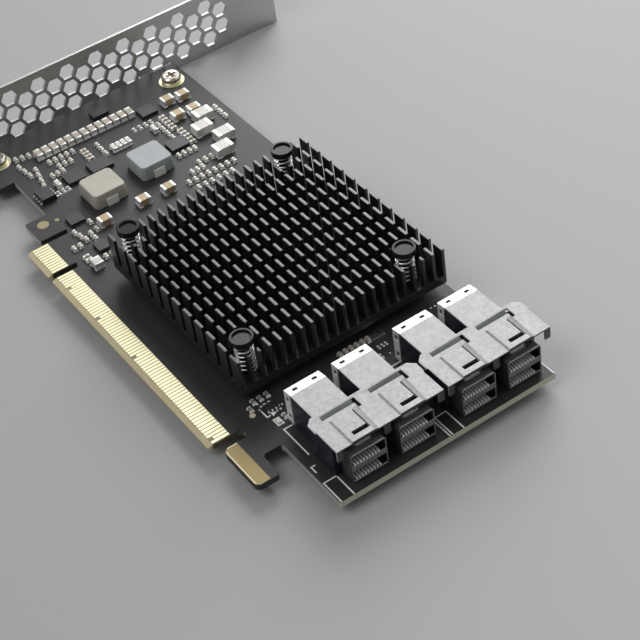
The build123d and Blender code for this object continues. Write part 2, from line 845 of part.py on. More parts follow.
resistor_places = (
    row_places(67.4, 14.6, 0, 1.75, 3)
    + [(75.3, 17.6), (74.4, 43.6), (68.9, 12.9)]
    + row_places(-27.6, 17.2, 0, 1.4, 3)
    + row_places(-37.4, 45.0, 0, 1.7, 4)
)
solder_side_places = row_places(28.0, 32.5, 3.6, 0, 7) + row_places(28.0, 48.0, 3.6, 0, 7)


def small_capacitors(ends):
    along_x = chip_parts(small_size, small_places, ends=ends)
    return Compound(along_x + chip_parts(small_size, turned_small_places, turned=True, ends=ends))


def large_capacitors(ends):
    output = chip_parts(output_size, output_places, ends=ends)
    return Compound(output + chip_parts(large_size, large_places, turned=True, ends=ends))


def flat_chip(x, y, length, width, height):
    """A leadless chip with its pin-one corner cut."""
    outline = Pos(x, y) * Rectangle(length, width)
    outline = chamfer(corners_near(outline, (x - length / 2, y - width / 2)), min(length, width) * 0.1)
    return raise_flat(outline, top, height)


# Leadless chips and the chips on leads: x, y, length, width and height
regulator_chips = (
    (-23.9, 50.0, 4.6, 5.0, 0.9),
    (-30.4, 30.6, 5.0, 6.0, 0.9),
    (-30.6, 23.2, 5.0, 5.0, 0.9),
)
logic_chips = (
    (-1.7, 15.2, 4.0, 3.0, 0.8),
    (-15.2, 15.2, 4.0, 4.0, 0.8),
    (-50.5, 41.5, 3.4, 4.6, 1.0),
    (-42.2, 51.6, 4.6, 4.6, 0.9),
)
memory_chip = (-28.6, 14.0, 4.9, 3.9, 1.5)
small_regulator = (71.2, 16.4, 1.6, 2.9, 1.0)
oscillator = (68.4, 46.9, 2.5, 3.2, 0.9)
pin_one_cut = 0.4
leaded_standoff = 0.1
lead_width = 0.4
lead_foot = 0.6
lead_height = 0.45
memory_lead_count = 4
memory_lead_pitch = 1.27
regulator_lead_count = 3
regulator_lead_pitch = 0.95

# Bare round pads: x, y and diameter
test_pad_places = ((70.6, 12.3, 1.4), (-19.2, 8.2, 3.0), (-18.6, 11.8, 1.2))


def flat_chip(x, y, length, width, height):
    """A leadless chip with its pin-one corner cut."""
    outline = Pos(x, y) * Rectangle(length, width)
    outline = chamfer(corners_near(outline, (x - length / 2, y - width / 2)), pin_one_cut)
    return raise_flat(outline, top, height)


def leaded_body(x, y, length, width, height):
    """A moulded body held just clear of the board by its leads."""
    body = Pos(x, y) * Rectangle(length, width)
    return raise_flat(body, top + leaded_standoff, height - leaded_standoff)


def leads(x, y, length, width, count, pitch, along_x):
    """Leads on two opposite sides: the two that face Y where the rows run along X."""
    reach = (width if along_x else length) / 2
    half = lead_width / 2
    shapes = []
    for number in range(count):
        offset = (number - (count - 1) / 2) * pitch
        for sign in (-1, 1):
            low, high = sorted((sign * reach, sign * (reach + lead_foot)))
            if along_x:
                middle = x + offset
                shapes.append(block(middle - half, middle + half, y + low, y + high, top, top + lead_height))
            else:
                middle = y + offset
                shapes.append(block(x + low, x + high, middle - half, middle + half, top, top + lead_height))
    return shapes


def chip_leads():
    of_memory = leads(*memory_chip[:4], memory_lead_count, memory_lead_pitch, along_x=True)
    of_regulator = leads(*small_regulator[:4], regulator_lead_count, regulator_lead_pitch, along_x=False)
    return Compound(of_memory + of_regulator)


def test_pads():
    pads = [raise_flat(Pos(x, y) * Circle(diameter / 2), top, plating) for x, y, diameter in test_pad_places]
    return Compound(pads)


def main():
    os.makedirs("parts", exist_ok=True)
    save(circuit_board(), "circuit_board")
    save(edge_contacts(top), "edge_contacts_top")
    save(edge_contacts(bottom - plating), "edge_contacts_bottom")
    save(hook_plating(), "hook_plating")
    save(mounting_rings(), "mounting_rings")
    save(bracket(), "bracket")
    save(bracket_screws(), "bracket_screws")
    save(heatsink(), "heatsink")
    save(thermal_pad(), "thermal_pad")
    save(switch_chip_lid(), "switch_chip_lid")
    save(switch_chip_package(), "switch_chip_package")
    save(push_pins(), "push_pins")
    save(push_pin_springs(), "push_pin_springs")
    for number, centre_y in enumerate(port_centres_y, 1):
        save(port_housing(centre_y), f"port_{number}_housing")
        save(port_nose(centre_y), f"port_{number}_nose")
        save(port_contacts(centre_y), f"port_{number}_contacts")
        save(port_shell(centre_y), f"port_{number}_shell")
        save(port_clip(centre_y), f"port_{number}_clip")
    for number in (0, 1):
        pair = port_centres_y[2 * number:2 * number + 2]
        save(bezel(*pair), f"pair_{number + 1}_bezel")
        save(port_tails(pair), f"pair_{number + 1}_tails")
    save(inductor_bodies(), "inductor_bodies")
    save(inductor_terminals(), "inductor_terminals")
    save(Compound(chip_parts(tan_size, tan_places, turned=True)), "tan_capacitor_bodies")
    save(Compound(chip_parts(tan_size, tan_places, turned=True, ends=True)), "tan_capacitor_ends")
    save(large_capacitors(ends=False), "large_capacitor_bodies")
    save(large_capacitors(ends=True), "large_capacitor_ends")
    save(Compound(chip_parts(input_size, input_places)), "input_capacitor_bodies")
    save(Compound(chip_parts(input_size, input_places, ends=True)), "input_capacitor_ends")
    save(Compound(chip_parts(bank_size, bank_places)), "bank_capacitor_bodies")
    save(Compound(chip_parts(bank_size, bank_places, ends=True)), "bank_capacitor_ends")
    save(small_capacitors(ends=False), "small_capacitor_bodies")
    save(small_capacitors(ends=True), "small_capacitor_ends")
    save(Compound(chip_parts(resistor_size, resistor_places)), "resistor_bodies")
    save(Compound(chip_parts(resistor_size, resistor_places, ends=True)), "resistor_ends")
    solder_side = chip_parts(solder_side_size, solder_side_places, turned=True, face_z=bottom)
    save(Compound(solder_side), "solder_side_capacitor_bodies")
    solder_ends = chip_parts(solder_side_size, solder_side_places, turned=True, face_z=bottom, ends=True)
    save(Compound(solder_ends), "solder_side_capacitor_ends")
    save(Compound([flat_chip(*chip) for chip in regulator_chips]), "regulator_chips")
    save(Compound([flat_chip(*chip) for chip in logic_chips]), "logic_chips")
    save(leaded_body(*memory_chip), "memory_chip")
    save(leaded_body(*small_regulator), "small_regulator")
    save(chip_leads(), "chip_leads")
    save(flat_chip(*oscillator), "oscillator")
    save(test_pads(), "test_pads")


main()
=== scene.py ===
import bpy
import json
import math
from mathutils import Matrix, Vector


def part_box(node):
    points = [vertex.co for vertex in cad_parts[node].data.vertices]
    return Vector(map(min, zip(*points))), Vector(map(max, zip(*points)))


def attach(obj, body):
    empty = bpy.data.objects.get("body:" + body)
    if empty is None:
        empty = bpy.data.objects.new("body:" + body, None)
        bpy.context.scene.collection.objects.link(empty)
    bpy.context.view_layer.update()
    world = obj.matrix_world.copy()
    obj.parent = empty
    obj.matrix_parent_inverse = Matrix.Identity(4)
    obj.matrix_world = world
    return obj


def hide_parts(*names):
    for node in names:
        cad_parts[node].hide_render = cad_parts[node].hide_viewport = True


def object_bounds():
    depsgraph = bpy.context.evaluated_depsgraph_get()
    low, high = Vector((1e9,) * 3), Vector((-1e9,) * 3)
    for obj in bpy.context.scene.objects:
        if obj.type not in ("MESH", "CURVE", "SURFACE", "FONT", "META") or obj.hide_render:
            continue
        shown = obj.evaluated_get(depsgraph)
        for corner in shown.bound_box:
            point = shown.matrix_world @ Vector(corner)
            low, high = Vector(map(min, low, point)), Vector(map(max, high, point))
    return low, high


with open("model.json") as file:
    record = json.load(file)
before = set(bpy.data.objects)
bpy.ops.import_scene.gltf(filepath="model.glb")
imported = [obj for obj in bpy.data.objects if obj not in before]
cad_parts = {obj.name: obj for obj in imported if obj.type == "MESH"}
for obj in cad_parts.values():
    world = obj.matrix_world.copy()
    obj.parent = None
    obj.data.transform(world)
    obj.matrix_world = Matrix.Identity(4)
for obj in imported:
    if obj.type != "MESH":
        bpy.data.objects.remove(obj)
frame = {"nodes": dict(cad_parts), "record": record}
cad_box = [list(corner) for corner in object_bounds()]
nodes = frame["nodes"]

MM = 0.001

# Sizes and places on the card, in millimetres

BOARD_TOP = 0.785
FINGERS_ALONG = (-13.0, 73.0)
FINGERS_ACROSS = (-10.0, 5.7)
EDGE_BEVEL_ACROSS = (-10.0, 1.15)
# Places where the board's walls get painted shade: the notches' cross walls, the relief slot and the hook
CROSS_WALLS_ALONG = (-60.0, 95.0)
RELIEF_SLOT_ALONG = (72.0, 73.5)
HOOK_ALONG = (74.0, 90.0)
HOOK_ACROSS = (-20.0, 12.0)
PORT_END_ALONG = (102.5, 104.0)
# Width in millimetres of the painted highlight along the hook plating's foot and rear end
HOOK_RIM_HIGHLIGHT = 0.3
PADS_BY_PORTS_ALONG = (50.0, 100.0)
SECOND_INDUCTOR_ACROSS = (33.0, 60.0)

SPRING_DIAMETER = 4.5
SPRING_WIRE = 0.5
SPRING_TURNS = 6
SPRING_STEPS = 30
SPRING_SIDES = 10

WINDOW_REAR = 88.7
WINDOW_FRONT = 90.2
BEZEL_TOP = 10.385

SLOT_FLOORS = (1.62, 5.72)
SLOT_HEIGHT = 2.6
SLOT_DEPTH = 3.3
SLOT_WALL = 0.22
SLOT_END = 0.3
SLOT_RUN_OUT = 0.2
NOSE_FACE_DEPTH = 0.3

PRINT_WIDTH = 0.34
PRINT_THICKNESS = 0.012
TRIANGLE_RADIUS = 0.85
TRIANGLE_PLACE = (73.0, 16.1)
DOT_SIDES = 12
DOT_FOOT = 0.04
DOT_STEPS = ((0.07, 0.04), (0.08, 0.02))
SOLDER_SPREAD = 0.2
SOLDER_ROUNDING = 0.06
FILLET_RISE = 0.45
FILLET_TAPER = 0.62
LAMP_SIZE = (1.6, 0.9, 0.45)
LAMP_PLACE = (75.7, 15.65)
LAMP_ROUNDING = 0.08

# A face this near to a level or a wall counts as lying on it
NEAR = 0.02

BEVEL_SEGMENTS = 2
ROUGHNESS_SPREAD = 0.08

# Floor, in metres. Its tone carries painted light, brighter to the back right; a step along Y counts as so
# many along X in that change of tone

FLOOR_SIZE = 8.0
FLOOR_SLANT = 2.0
FLOOR_PAINTED_SHADE_PLACE = -0.12
FLOOR_PAINTED_LIGHT_PLACE = 0.4

# Camera, in millimetres and pixels

SENSOR_WIDTH = 36.0
PHOTO_WIDTH = 640
FOCAL_LENGTH_PIXELS = 1716.318


# Materials

def new_group(name, inputs, outputs):
    """An empty shader node group with named sockets."""
    group = bpy.data.node_groups.new(name, "ShaderNodeTree")
    for label, kind, value in inputs:
        socket = group.interface.new_socket(label, in_out="INPUT", socket_type=kind)
        if value is not None:
            socket.default_value = value
    for label, kind in outputs:
        group.interface.new_socket(label, in_out="OUTPUT", socket_type=kind)
    return group, group.nodes.new("NodeGroupInput"), group.nodes.new("NodeGroupOutput")


def add_node(tree, kind, **settings):
    """One node, with its settings and the values of its sockets."""
    node = tree.nodes.new(kind)
    sockets = settings.pop("sockets", {})
    for key, value in settings.items():
        setattr(node, key, value)
    for key, value in sockets.items():
        node.inputs[key].default_value = value
    return node


def make_mottle_group():
    """Two colours mixed by soft patches and by fine specks."""
    group, start, end = new_group(
        "mottle",
        [
            ("Vector", "NodeSocketVector", None),
            ("Colour", "NodeSocketColor", (0.5, 0.5, 0.5, 1)),
            ("Patch Colour", "NodeSocketColor", (0.4, 0.4, 0.4, 1)),
            ("Speck Colour", "NodeSocketColor", (0.8, 0.8, 0.8, 1)),
            ("Patch Scale", "NodeSocketFloat", 200.0),
            ("Speck Scale", "NodeSocketFloat", 4000.0),
            ("Speck Amount", "NodeSocketFloat", 0.3),
        ],
        [("Colour", "NodeSocketColor"), ("Specks", "NodeSocketFloat")],
    )
    link = group.links.new
    patches = add_node(group, "ShaderNodeTexNoise", sockets={"Detail": 4.0, "Roughness": 0.6})
    link(start.outputs["Vector"], patches.inputs["Vector"])
    link(start.outputs["Patch Scale"], patches.inputs["Scale"])
    specks = add_node(group, "ShaderNodeTexNoise", sockets={"Detail": 2.0, "Roughness": 0.7})
    link(start.outputs["Vector"], specks.inputs["Vector"])
    link(start.outputs["Speck Scale"], specks.inputs["Scale"])
    patch_range = add_node(group, "ShaderNodeMapRange", sockets={"From Min": 0.35, "From Max": 0.68})
    link(patches.outputs["Fac"], patch_range.inputs["Value"])
    speck_range = add_node(group, "ShaderNodeMapRange", sockets={"From Min": 0.46, "From Max": 0.72})
    link(specks.outputs["Fac"], speck_range.inputs["Value"])
    amount = add_node(group, "ShaderNodeMath", operation="MULTIPLY")
    link(speck_range.outputs["Result"], amount.inputs[0])
    link(start.outputs["Speck Amount"], amount.inputs[1])
    patch_mix = add_node(group, "ShaderNodeMix", data_type="RGBA")
    link(patch_range.outputs["Result"], patch_mix.inputs["Factor"])
    link(start.outputs["Colour"], patch_mix.inputs["A"])
    link(start.outputs["Patch Colour"], patch_mix.inputs["B"])
    speck_mix = add_node(group, "ShaderNodeMix", data_type="RGBA")
    link(amount.outputs[0], speck_mix.inputs["Factor"])
    link(patch_mix.outputs["Result"], speck_mix.inputs["A"])
    link(start.outputs["Speck Colour"], speck_mix.inputs["B"])
    link(speck_mix.outputs["Result"], end.inputs["Colour"])
    link(speck_range.outputs["Result"], end.inputs["Specks"])
    return group


def make_relief_group():
    """Height for a bump: fine grain with wider, softer waves under it."""
    group, start, end = new_group(
        "relief",
        [
            ("Vector", "NodeSocketVector", None),
            ("Grain Scale", "NodeSocketFloat", 3000.0),
            ("Wave Scale", "NodeSocketFloat", 300.0),
            ("Wave Share", "NodeSocketFloat", 0.4),
        ],
        [("Height", "NodeSocketFloat")],
    )
    link = group.links.new
    grain = add_node(group, "ShaderNodeTexNoise", sockets={"Detail": 3.0, "Roughness": 0.65})
    waves = add_node(group, "ShaderNodeTexNoise", sockets={"Detail": 2.0, "Roughness": 0.5})
    link(start.outputs["Vector"], grain.inputs["Vector"])
    link(start.outputs["Vector"], waves.inputs["Vector"])
    link(start.outputs["Grain Scale"], grain.inputs["Scale"])
    link(start.outputs["Wave Scale"], waves.inputs["Scale"])
    mix = add_node(group, "ShaderNodeMix", data_type="FLOAT")
    link(start.outputs["Wave Share"], mix.inputs["Factor"])
    link(grain.outputs["Fac"], mix.inputs["A"])
    link(waves.outputs["Fac"], mix.inputs["B"])
    link(mix.outputs["Result"], end.inputs["Height"])
    return group


MOTTLE = make_mottle_group()
RELIEF = make_relief_group()


def shade(colour, factor):
    """An opaque colour, so many times as bright."""
    return tuple(min(1.0, c * factor) for c in colour[:3]) + (1.0,)


def make_finish(
    name,
    colour,
    roughness,
    metallic=0.0,
    patch=0.85,
    speck=1.3,
    patch_scale=150.0,
    speck_scale=5000.0,
    speck_amount=0.3,
    grain_scale=5000.0,
    wave_scale=300.0,
    wave_share=0.3,
    bump=0.15,
    depth=0.02,
    specular=0.5,
    stretch=None,
):
    """A finish with mottled colour, uneven roughness and a fine relief."""
    material = bpy.data.materials.new(name)
    material.use_nodes = True
    tree = material.node_tree
    link = tree.links.new
    shader = tree.nodes["Principled BSDF"]
    shader.inputs["Metallic"].default_value = metallic
    shader.inputs["Specular IOR Level"].default_value = specular
    place = add_node(tree, "ShaderNodeTexCoord")
    source = place.outputs["Object"]
    if stretch:
        mapping = add_node(tree, "ShaderNodeMapping")
        mapping.inputs["Scale"].default_value = stretch
        link(source, mapping.inputs["Vector"])
        source = mapping.outputs["Vector"]
    mottle = add_node(tree, "ShaderNodeGroup", node_tree=MOTTLE)
    mottle.inputs["Colour"].default_value = shade(colour, 1)
    mottle.inputs["Patch Colour"].default_value = shade(colour, patch)
    mottle.inputs["Speck Colour"].default_value = shade(colour, speck)
    mottle.inputs["Patch Scale"].default_value = patch_scale
    mottle.inputs["Speck Scale"].default_value = speck_scale
    mottle.inputs["Speck Amount"].default_value = speck_amount
    link(source, mottle.inputs["Vector"])
    link(mottle.outputs["Colour"], shader.inputs["Base Color"])
    spread = add_node(tree, "ShaderNodeMapRange")
    spread.inputs["To Min"].default_value = max(0.02, roughness - ROUGHNESS_SPREAD)
    spread.inputs["To Max"].default_value = min(1.0, roughness + ROUGHNESS_SPREAD)
    link(mottle.outputs["Specks"], spread.inputs["Value"])
    link(spread.outputs["Result"], shader.inputs["Roughness"])
    relief = add_node(tree, "ShaderNodeGroup", node_tree=RELIEF)
    relief.inputs["Grain Scale"].default_value = grain_scale
    relief.inputs["Wave Scale"].default_value = wave_scale
    relief.inputs["Wave Share"].default_value = wave_share
    link(source, relief.inputs["Vector"])
    raised = add_node(tree, "ShaderNodeBump")
    raised.inputs["Strength"].default_value = bump
    raised.inputs["Distance"].default_value = depth * MM
    link(relief.outputs["Height"], raised.inputs["Height"])
    link(raised.outputs["Normal"], shader.inputs["Normal"])
    return material


def overlap(tree, first, second):
    """One where two masks are both one."""
    product = add_node(tree, "ShaderNodeMath", operation="MULTIPLY")
    tree.links.new(first, product.inputs[0])
    tree.links.new(second, product.inputs[1])
    return product.outputs[0]


def inside(tree, source, low, high):
    """One where a value lies between two limits, and nought elsewhere."""
    above = add_node(tree, "ShaderNodeMath", operation="GREATER_THAN")
    above.inputs[1].default_value = low
    tree.links.new(source, above.inputs[0])
    below = add_node(tree, "ShaderNodeMath", operation="LESS_THAN")
    below.inputs[1].default_value = high
    tree.links.new(source, below.inputs[0])
    return overlap(tree, above.outputs[0], below.outputs[0])


def band(tree, source, limits):
    """One where a place lies between two limits in millimetres, and nought elsewhere."""
    return inside(tree, source, limits[0] * MM, limits[1] * MM)


def coordinates(tree):
    """A finish's texture coordinates."""
    return next(node for node in tree.nodes if node.type == "TEX_COORD").outputs


def parts_of(tree, vector):
    """The X, Y and Z of a vector."""
    parts = add_node(tree, "ShaderNodeSeparateXYZ")
    tree.links.new(vector, parts.inputs["Vector"])
    return parts.outputs


def tint(tree, colour, patch_colour=None):
    """Give a finish's mottle a colour that changes over the surface, and one for its patches."""
    mottle = next(node for node in tree.nodes if node.type == "GROUP" and node.node_tree == MOTTLE)
    tree.links.new(colour, mottle.inputs["Colour"])
    tree.links.new(colour if patch_colour is None else patch_colour, mottle.inputs["Patch Colour"])


def blend_colour(tree, factor, first, second):
    """One colour where the factor is nought, and the other where it is one."""
    mix = add_node(tree, "ShaderNodeMix", data_type="RGBA")
    tree.links.new(factor, mix.inputs["Factor"])
    for socket, value in ((mix.inputs["A"], first), (mix.inputs["B"], second)):
        if isinstance(value, tuple):
            socket.default_value = value
        else:
            tree.links.new(value, socket)
    return mix.outputs["Result"]


def make_board_finish():
    """Matte solder mask, bare laminate between the edge contacts, and pale laminate on the cut edges, with
    painted shade on the walls of the notches, the relief slot and the hook.
    """
    material = make_finish(
        "board mask and painted shade", (0.034, 0.0345, 0.034), 0.52, patch=0.8, speck=1.8, patch_scale=60, speck_scale=2500,
        speck_amount=0.25, grain_scale=1500, bump=0.2, depth=0.02, specular=0.33,
    )
    tree = material.node_tree
    shader = tree.nodes["Principled BSDF"]
    mask_colour = shader.inputs["Base Color"].links[0].from_socket
    facing = parts_of(tree, coordinates(tree)["Normal"])
    spot = parts_of(tree, coordinates(tree)["Object"])
    grain = add_node(tree, "ShaderNodeTexNoise", sockets={"Scale": 1.0, "Detail": 3.0})
    squash = add_node(tree, "ShaderNodeMapping")
    squash.inputs["Scale"].default_value = (900, 900, 6000)
    tree.links.new(coordinates(tree)["Object"], squash.inputs["Vector"])
    tree.links.new(squash.outputs["Vector"], grain.inputs["Vector"])
    fibres = grain.outputs["Fac"]
    edge = blend_colour(tree, fibres, (0.44, 0.47, 0.35, 1), (0.62, 0.65, 0.5, 1))
    resin = blend_colour(tree, fibres, (0.25, 0.22, 0.12, 1), (0.42, 0.38, 0.24, 1))
    bevel = blend_colour(tree, fibres, (0.5, 0.43, 0.27, 1), (0.66, 0.58, 0.38, 1))
    port_end = band(tree, spot["X"], PORT_END_ALONG)
    edge = blend_colour(tree, port_end, (0.4, 0.41, 0.39, 1), edge)
    across = inside(tree, facing["Y"], -0.7, 0.7)
    # Painted shade: the notches' cross walls, the relief slot's walls and the hook's walls are darkened
    shaded_cross_walls = overlap(tree, across, band(tree, spot["X"], CROSS_WALLS_ALONG))
    edge = blend_colour(tree, shaded_cross_walls, edge, (0.045, 0.045, 0.04, 1))
    edge = blend_colour(tree, band(tree, spot["X"], RELIEF_SLOT_ALONG), edge, (0.12, 0.11, 0.07, 1))
    hook = overlap(tree, band(tree, spot["X"], HOOK_ALONG), band(tree, spot["Y"], HOOK_ACROSS))
    edge = blend_colour(tree, hook, edge, (0.035, 0.035, 0.033, 1))
    fingers = overlap(tree, band(tree, spot["X"], FINGERS_ALONG), band(tree, spot["Y"], FINGERS_ACROSS))
    colour = blend_colour(tree, fingers, mask_colour, resin)
    upright = inside(tree, facing["Z"], -0.5, 0.5)
    colour = blend_colour(tree, upright, colour, edge)
    colour = blend_colour(tree, band(tree, spot["Y"], EDGE_BEVEL_ACROSS), colour, bevel)
    tree.links.new(colour, shader.inputs["Base Color"])
    return material


def make_hook_finish():
    """Ochre plating with a painted highlight along the hook's foot and its rear end."""
    material = make_finish("hook plating and painted highlight", (0.38, 0.29, 0.09), 0.45, 0.3, speck=1.2, speck_scale=5000)
    tree = material.node_tree
    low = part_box("hook_plating")[0]
    spot = parts_of(tree, coordinates(tree)["Object"])
    patches = add_node(tree, "ShaderNodeTexNoise", sockets={"Scale": 500.0, "Detail": 2.0})
    tree.links.new(coordinates(tree)["Object"], patches.inputs["Vector"])
    colour = blend_colour(tree, patches.outputs["Fac"], (0.31, 0.205, 0.07, 1), (0.25, 0.23, 0.1, 1))
    # Painted highlight: a pale line along the hook's foot and rear end
    for axis, edge in (("X", low[0]), ("Y", low[1])):
        rim_highlight = inside(tree, spot[axis], edge - MM, edge + HOOK_RIM_HIGHLIGHT * MM)
        colour = blend_colour(tree, rim_highlight, colour, (0.72, 0.64, 0.44, 1))
    tint(tree, colour)
    return material


def make_pad_finish():
    """Plating, darker by the bracket and much brighter by the ports."""
    material = make_finish("pad plating", (0.4, 0.35, 0.2), 0.42, 0.3)
    tree = material.node_tree
    near_ports = band(tree, parts_of(tree, coordinates(tree)["Object"])["X"], PADS_BY_PORTS_ALONG)
    tint(tree, blend_colour(tree, near_ports, (0.3, 0.26, 0.14, 1), (0.85, 0.78, 0.52, 1)))
    return material


def make_inductor_finish():
    """Pressed powder, warmer on the first inductor than on the second."""
    material = make_finish(
        "inductor powder", (0.45, 0.43, 0.38), 0.55, patch=0.88, speck=1.25, speck_scale=3500, bump=0.4,
        depth=0.04,
    )
    tree = material.node_tree
    second = band(tree, parts_of(tree, coordinates(tree)["Object"])["Y"], SECOND_INDUCTOR_ACROSS)
    warm, cool = (0.47, 0.45, 0.38, 1), (0.37, 0.41, 0.42, 1)
    patches = blend_colour(tree, second, shade(warm, 0.85), shade(cool, 0.85))
    tint(tree, blend_colour(tree, second, warm, cool), patches)
    return material


FINISH = {
    "board": make_board_finish(),
    "gold": make_finish(
        "contact gold", (0.97, 0.91, 0.6), 0.38, 0.6, patch=0.95, speck=1.08, speck_scale=6000
    ),
    "bracket_steel": make_finish(
        "bracket steel", (0.54, 0.535, 0.52), 0.45, 0.7, speck_scale=4000, stretch=(1, 0.05, 1), bump=0.2
    ),
    "screw_steel": make_finish("screw steel", (0.72, 0.68, 0.6), 0.28, 1.0),
    "heatsink_black": make_finish(
        "anodised black", (0.015, 0.0135, 0.018), 0.34, patch=0.9, speck=1.6, speck_scale=7000, bump=0.12,
        specular=0.6,
    ),
    "thermal_grey": make_finish("thermal pad", (0.35, 0.36, 0.4), 0.8),
    "lid_nickel": make_finish("lid nickel", (0.5, 0.5, 0.48), 0.4, 1.0),
    "package_green": make_finish("package laminate", (0.03, 0.08, 0.04), 0.5),
    "pin_black": make_finish(
        "push pin nylon", (0.016, 0.016, 0.018), 0.22, speck_scale=3000, bump=0.08, specular=0.14
    ),
    "spring_steel": make_finish("spring wire", (0.9, 0.9, 0.89), 0.25, 0.7),
    "housing_black": make_finish(
        "housing plastic", (0.014, 0.016, 0.026), 0.4, speck=1.7, speck_scale=3500, bump=0.25
    ),
    "nose_grey": make_finish(
        "nose plastic", (0.15, 0.156, 0.156), 0.38, speck=1.4, speck_scale=3500, bump=0.25
    ),
    "contact_silver": make_finish("contact plating", (0.95, 0.95, 0.93), 0.4, 0.1),
    "port_zinc": make_finish(
        "zinc grey sheet", (0.54, 0.54, 0.545), 0.55, 0.15, patch=0.77, speck=0.66, patch_scale=850,
        speck_scale=3000, speck_amount=0.6, grain_scale=3600, bump=0.12, specular=0.35,
    ),
    "tin": make_finish("tinned ends", (0.84, 0.84, 0.81), 0.4, 0.4),
    "inductor_grey": make_inductor_finish(),
    "ceramic_tan": make_finish("tan ceramic", (0.52, 0.39, 0.22), 0.45),
    "ceramic_pale": make_finish("pale ceramic", (0.7, 0.68, 0.62), 0.45),
    "chip_black": make_finish("chip epoxy", (0.02, 0.02, 0.022), 0.5, speck=1.6, speck_scale=5000, bump=0.3),
    "oscillator_silver": make_finish("oscillator can", (0.6, 0.6, 0.58), 0.35, 1.0),
}
# Painted shade for the bezels' faces turned to the front: cut edges and tabs
FRONT_FACE_SHADE_FINISH = make_finish("painted shade on sheet fronts", (0.08, 0.08, 0.082), 0.45, 0.2, speck_scale=3000)
# Painted shade inside the nose slots and on the nose's sides and top, and a painted highlight along its top
# front edge
SLOT_SHADE_FINISH = make_finish("painted slot shade", (0.018, 0.019, 0.02), 0.5, speck=1.4, speck_scale=3500)
NOSE_SIDE_SHADE_FINISH = make_finish(
    "nose painted shade", (0.05, 0.052, 0.054), 0.38, speck=1.4, speck_scale=3500, bump=0.25
)
NOSE_RIM_HIGHLIGHT_FINISH = make_finish("nose painted highlight", (0.5, 0.51, 0.51), 0.4, speck=1.2, speck_scale=3500, bump=0.2)
# Painted shade on the flank beside each latch and on the fold behind each window
FLANK_SHADE_FINISH = make_finish(
    "painted shade on pressed flank", (0.24, 0.24, 0.245), 0.55, 0.15, speck=0.7, patch_scale=850, speck_scale=3000, bump=0.12
)
FOLD_SHADE_FINISH = make_finish(
    "painted shade on sheet fold", (0.14, 0.15, 0.155), 0.5, 0.2, speck=0.7, patch_scale=420, speck_scale=3000, bump=0.12
)
PRINT_FINISH = make_finish(
    "white print", (0.95, 0.95, 0.93), 0.6, patch=0.93, speck=1.1, speck_scale=8000, bump=0.1
)
LAMP_FINISH = make_finish(
    "lamp resin", (0.85, 0.85, 0.8), 0.3, patch=0.95, speck=1.05, speck_scale=4000, bump=0.1
)
SOLDER_FINISH = make_finish(
    "solder", (0.85, 0.85, 0.84), 0.3, 0.35, wave_scale=1500, wave_share=0.6, bump=0.3
)

PALE_CAPACITOR_FINISH = make_finish("pale brown ceramic", (0.5, 0.44, 0.36), 0.45)
NODE_FINISH = {
    "hook_plating": make_hook_finish(),
    # Painted highlight: the inductor terminals get a paler copy of the tinned-end colour
    "inductor_terminals": make_finish(
        "terminal tin with painted highlight", (0.98, 0.98, 0.92), 0.35, 0.05, patch=0.95, speck=1.05
    ),
    "input_capacitor_bodies": PALE_CAPACITOR_FINISH,
    "small_capacitor_bodies": PALE_CAPACITOR_FINISH,
    "resistor_bodies": make_finish("resistor coat", (0.26, 0.25, 0.235), 0.5, speck=1.3),
    "test_pads": make_pad_finish(),
}
# Port clips: a pale, glossy sheet, made paler still by a painted highlight
CLIP_SHEET_AND_HIGHLIGHT_FINISH = make_finish(
    "pale clip sheet and painted highlight", (0.95, 0.95, 0.93), 0.4, 0.3, patch=0.95, speck=0.85, speck_scale=5200, bump=0.2
)
for port in range(1, 5):
    NODE_FINISH[f"port_{port}_clip"] = CLIP_SHEET_AND_HIGHLIGHT_FINISH

SLOT_OF = {entry["node"]: entry["material_slot"] for entry in frame["record"]["subparts"]}


def finish_of(node_name):
    """A node's own finish, or else the finish of its material slot."""
    return NODE_FINISH.get(node_name, FINISH[SLOT_OF[node_name]])


for name in SLOT_OF:
    nodes[name].data.materials.clear()
    nodes[name].data.materials.append(finish_of(name))


# Pieces

def pick(piece):
    """Select one piece alone."""
    bpy.ops.object.select_all(action="DESELECT")
    piece.select_set(True)
    bpy.context.view_layer.objects.active = piece


def open_piece(name):
    """An empty piece, open for editing."""
    piece = bpy.data.objects.new(name, bpy.data.meshes.new(name))
    bpy.context.collection.objects.link(piece)
    pick(piece)
    bpy.ops.object.mode_set(mode="EDIT")
    return piece


def close_piece(piece, material, sharp=35, replaced=()):
    """Leave editing with the faces outward, and give the piece its finish and its body."""
    bpy.ops.mesh.select_all(action="SELECT")
    bpy.ops.mesh.normals_make_consistent(inside=False)
    bpy.ops.object.mode_set(mode="OBJECT")
    bpy.ops.object.shade_smooth_by_angle(angle=math.radians(sharp))
    piece.data.materials.clear()
    piece.data.materials.append(material)
    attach(piece, "root")
    if replaced:
        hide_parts(*replaced)


def apply_modifier(piece, kind, **settings):
    """Add a modifier to the picked piece and apply it."""
    modifier = piece.modifiers.new(kind.lower(), kind)
    for key, value in settings.items():
        setattr(modifier, key, value)
    bpy.ops.object.modifier_apply(modifier=modifier.name)


def cut_away(piece, low, high):
    """Take a box out of a closed piece."""
    centre = Vector([(a + b) / 2 for a, b in zip(low, high)]) * MM
    bpy.ops.object.select_all(action="DESELECT")
    bpy.ops.mesh.primitive_cube_add(size=MM, location=centre)
    cutter = bpy.context.object
    bpy.ops.transform.resize(value=[b - a for a, b in zip(low, high)], center_override=centre)
    bpy.ops.object.transform_apply(location=True, rotation=True, scale=True)
    pick(piece)
    apply_modifier(piece, "BOOLEAN", operation="DIFFERENCE", object=cutter, solver="EXACT")
    bpy.data.objects.remove(cutter)


